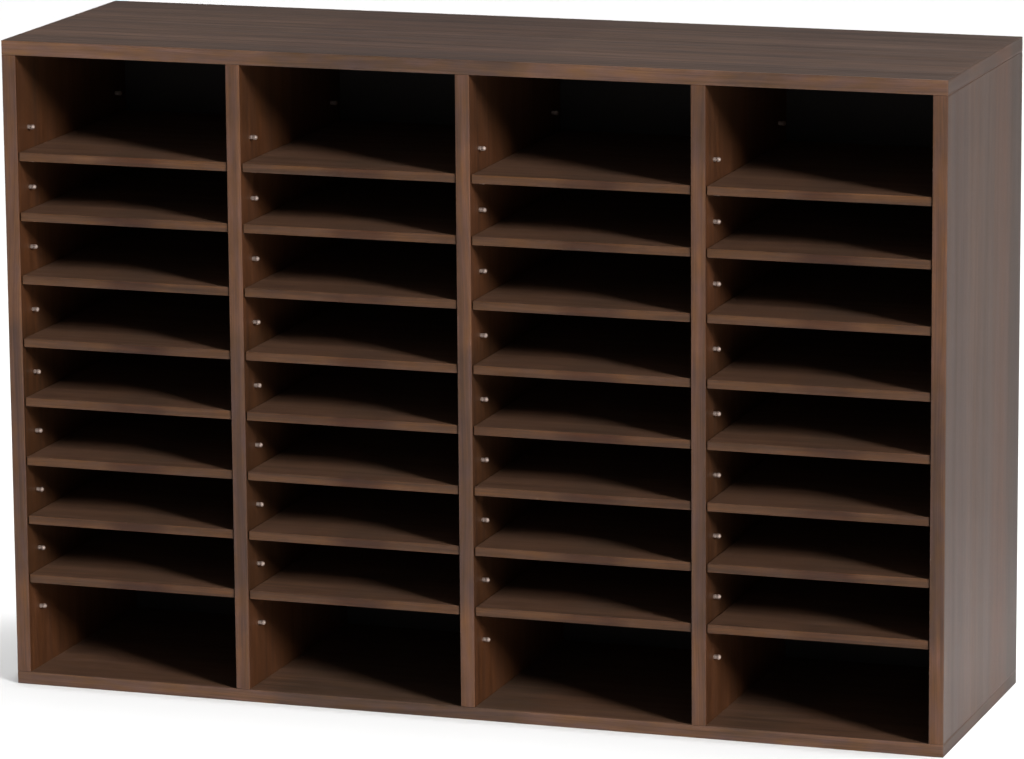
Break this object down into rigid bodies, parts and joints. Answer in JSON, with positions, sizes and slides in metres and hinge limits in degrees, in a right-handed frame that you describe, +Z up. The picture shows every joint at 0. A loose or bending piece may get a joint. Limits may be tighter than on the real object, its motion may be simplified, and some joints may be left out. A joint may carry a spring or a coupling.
{
  "type": "pigeonhole mail sorter",
  "caption": "Free-standing walnut-finish mail sorter: a wide cabinet of columns of pigeonholes for paper, with loose shelves that lie on metal wall pins and slide out to the front.",
  "frame": {"origin": "on the floor, at the centre of the cabinet's footprint", "axes": "+X to the right as seen from the front, +Y from the front to the back, +Z up"},
  "size_m": [1, 0.305, 0.6809],
  "materials": {
    "walnut_board": "dark walnut laminate, satin",
    "back_board": "dark printed hardboard, matt",
    "dowel_wood": "plain beech",
    "steel": "nickel-plated steel, satin"
  },
  "bodies": {
    "carcass": {"top_panel": "walnut_board", "bottom_panel": "walnut_board", "left_side": "walnut_board", "divider_1": "walnut_board", "divider_2": "walnut_board", "divider_3": "walnut_board", "right_side": "walnut_board", "back_panel": "back_board", "dowel_left_side_front": "dowel_wood", "dowel_left_side_back": "dowel_wood", "dowel_divider_1_front": "dowel_wood", "dowel_divider_1_back": "dowel_wood", "dowel_divider_2_front": "dowel_wood", "dowel_divider_2_back": "dowel_wood", "dowel_divider_3_front": "dowel_wood", "dowel_divider_3_back": "dowel_wood", "dowel_right_side_front": "dowel_wood", "dowel_right_side_back": "dowel_wood", "screw_left_side_front": "steel", "screw_left_side_back": "steel", "screw_divider_1_front": "steel", "screw_divider_1_back": "steel", "screw_divider_2_front": "steel", "screw_divider_2_back": "steel", "screw_divider_3_front": "steel", "screw_divider_3_back": "steel", "screw_right_side_front": "steel", "screw_right_side_back": "steel"},
    "shelf_c1_r1": {"shelf_c1_r1": "walnut_board"},
    "shelf_c1_r2": {"shelf_c1_r2": "walnut_board"},
    "shelf_c1_r3": {"shelf_c1_r3": "walnut_board"},
    "shelf_c1_r4": {"shelf_c1_r4": "walnut_board"},
    "shelf_c1_r5": {"shelf_c1_r5": "walnut_board"},
    "shelf_c1_r6": {"shelf_c1_r6": "walnut_board"},
    "shelf_c1_r7": {"shelf_c1_r7": "walnut_board"},
    "shelf_c1_r8": {"shelf_c1_r8": "walnut_board"},
    "shelf_c2_r1": {"shelf_c2_r1": "walnut_board"},
    "shelf_c2_r2": {"shelf_c2_r2": "walnut_board"},
    "shelf_c2_r3": {"shelf_c2_r3": "walnut_board"},
    "shelf_c2_r4": {"shelf_c2_r4": "walnut_board"},
    "shelf_c2_r5": {"shelf_c2_r5": "walnut_board"},
    "shelf_c2_r6": {"shelf_c2_r6": "walnut_board"},
    "shelf_c2_r7": {"shelf_c2_r7": "walnut_board"},
    "shelf_c2_r8": {"shelf_c2_r8": "walnut_board"},
    "shelf_c3_r1": {"shelf_c3_r1": "walnut_board"},
    "shelf_c3_r2": {"shelf_c3_r2": "walnut_board"},
    "shelf_c3_r3": {"shelf_c3_r3": "walnut_board"},
    "shelf_c3_r4": {"shelf_c3_r4": "walnut_board"},
    "shelf_c3_r5": {"shelf_c3_r5": "walnut_board"},
    "shelf_c3_r6": {"shelf_c3_r6": "walnut_board"},
    "shelf_c3_r7": {"shelf_c3_r7": "walnut_board"},
    "shelf_c3_r8": {"shelf_c3_r8": "walnut_board"},
    "shelf_c4_r1": {"shelf_c4_r1": "walnut_board"},
    "shelf_c4_r2": {"shelf_c4_r2": "walnut_board"},
    "shelf_c4_r3": {"shelf_c4_r3": "walnut_board"},
    "shelf_c4_r4": {"shelf_c4_r4": "walnut_board"},
    "shelf_c4_r5": {"shelf_c4_r5": "walnut_board"},
    "shelf_c4_r6": {"shelf_c4_r6": "walnut_board"},
    "shelf_c4_r7": {"shelf_c4_r7": "walnut_board"},
    "shelf_c4_r8": {"shelf_c4_r8": "walnut_board"}
  },
  "joints": [
    {"name": "slide_c1_r1", "type": "slide", "parent": "carcass", "child": "shelf_c1_r1", "axis": [0, -1, 0], "range_m": [0, 0.3]},
    {"name": "slide_c1_r2", "type": "slide", "parent": "carcass", "child": "shelf_c1_r2", "axis": [0, -1, 0], "range_m": [0, 0.3]},
    {"name": "slide_c1_r3", "type": "slide", "parent": "carcass", "child": "shelf_c1_r3", "axis": [0, -1, 0], "range_m": [0, 0.3]},
    {"name": "slide_c1_r4", "type": "slide", "parent": "carcass", "child": "shelf_c1_r4", "axis": [0, -1, 0], "range_m": [0, 0.3]},
    {"name": "slide_c1_r5", "type": "slide", "parent": "carcass", "child": "shelf_c1_r5", "axis": [0, -1, 0], "range_m": [0, 0.3]},
    {"name": "slide_c1_r6", "type": "slide", "parent": "carcass", "child": "shelf_c1_r6", "axis": [0, -1, 0], "range_m": [0, 0.3]},
    {"name": "slide_c1_r7", "type": "slide", "parent": "carcass", "child": "shelf_c1_r7", "axis": [0, -1, 0], "range_m": [0, 0.3]},
    {"name": "slide_c1_r8", "type": "slide", "parent": "carcass", "child": "shelf_c1_r8", "axis": [0, -1, 0], "range_m": [0, 0.3]},
    {"name": "slide_c2_r1", "type": "slide", "parent": "carcass", "child": "shelf_c2_r1", "axis": [0, -1, 0], "range_m": [0, 0.3]},
    {"name": "slide_c2_r2", "type": "slide", "parent": "carcass", "child": "shelf_c2_r2", "axis": [0, -1, 0], "range_m": [0, 0.3]},
    {"name": "slide_c2_r3", "type": "slide", "parent": "carcass", "child": "shelf_c2_r3", "axis": [0, -1, 0], "range_m": [0, 0.3]},
    {"name": "slide_c2_r4", "type": "slide", "parent": "carcass", "child": "shelf_c2_r4", "axis": [0, -1, 0], "range_m": [0, 0.3]},
    {"name": "slide_c2_r5", "type": "slide", "parent": "carcass", "child": "shelf_c2_r5", "axis": [0, -1, 0], "range_m": [0, 0.3]},
    {"name": "slide_c2_r6", "type": "slide", "parent": "carcass", "child": "shelf_c2_r6", "axis": [0, -1, 0], "range_m": [0, 0.3]},
    {"name": "slide_c2_r7", "type": "slide", "parent": "carcass", "child": "shelf_c2_r7", "axis": [0, -1, 0], "range_m": [0, 0.3]},
    {"name": "slide_c2_r8", "type": "slide", "parent": "carcass", "child": "shelf_c2_r8", "axis": [0, -1, 0], "range_m": [0, 0.3]},
    {"name": "slide_c3_r1", "type": "slide", "parent": "carcass", "child": "shelf_c3_r1", "axis": [0, -1, 0], "range_m": [0, 0.3]},
    {"name": "slide_c3_r2", "type": "slide", "parent": "carcass", "child": "shelf_c3_r2", "axis": [0, -1, 0], "range_m": [0, 0.3]},
    {"name": "slide_c3_r3", "type": "slide", "parent": "carcass", "child": "shelf_c3_r3", "axis": [0, -1, 0], "range_m": [0, 0.3]},
    {"name": "slide_c3_r4", "type": "slide", "parent": "carcass", "child": "shelf_c3_r4", "axis": [0, -1, 0], "range_m": [0, 0.3]},
    {"name": "slide_c3_r5", "type": "slide", "parent": "carcass", "child": "shelf_c3_r5", "axis": [0, -1, 0], "range_m": [0, 0.3]},
    {"name": "slide_c3_r6", "type": "slide", "parent": "carcass", "child": "shelf_c3_r6", "axis": [0, -1, 0], "range_m": [0, 0.3]},
    {"name": "slide_c3_r7", "type": "slide", "parent": "carcass", "child": "shelf_c3_r7", "axis": [0, -1, 0], "range_m": [0, 0.3]},
    {"name": "slide_c3_r8", "type": "slide", "parent": "carcass", "child": "shelf_c3_r8", "axis": [0, -1, 0], "range_m": [0, 0.3]},
    {"name": "slide_c4_r1", "type": "slide", "parent": "carcass", "child": "shelf_c4_r1", "axis": [0, -1, 0], "range_m": [0, 0.3]},
    {"name": "slide_c4_r2", "type": "slide", "parent": "carcass", "child": "shelf_c4_r2", "axis": [0, -1, 0], "range_m": [0, 0.3]},
    {"name": "slide_c4_r3", "type": "slide", "parent": "carcass", "child": "shelf_c4_r3", "axis": [0, -1, 0], "range_m": [0, 0.3]},
    {"name": "slide_c4_r4", "type": "slide", "parent": "carcass", "child": "shelf_c4_r4", "axis": [0, -1, 0], "range_m": [0, 0.3]},
    {"name": "slide_c4_r5", "type": "slide", "parent": "carcass", "child": "shelf_c4_r5", "axis": [0, -1, 0], "range_m": [0, 0.3]},
    {"name": "slide_c4_r6", "type": "slide", "parent": "carcass", "child": "shelf_c4_r6", "axis": [0, -1, 0], "range_m": [0, 0.3]},
    {"name": "slide_c4_r7", "type": "slide", "parent": "carcass", "child": "shelf_c4_r7", "axis": [0, -1, 0], "range_m": [0, 0.3]},
    {"name": "slide_c4_r8", "type": "slide", "parent": "carcass", "child": "shelf_c4_r8", "axis": [0, -1, 0], "range_m": [0, 0.3]}
  ]
}
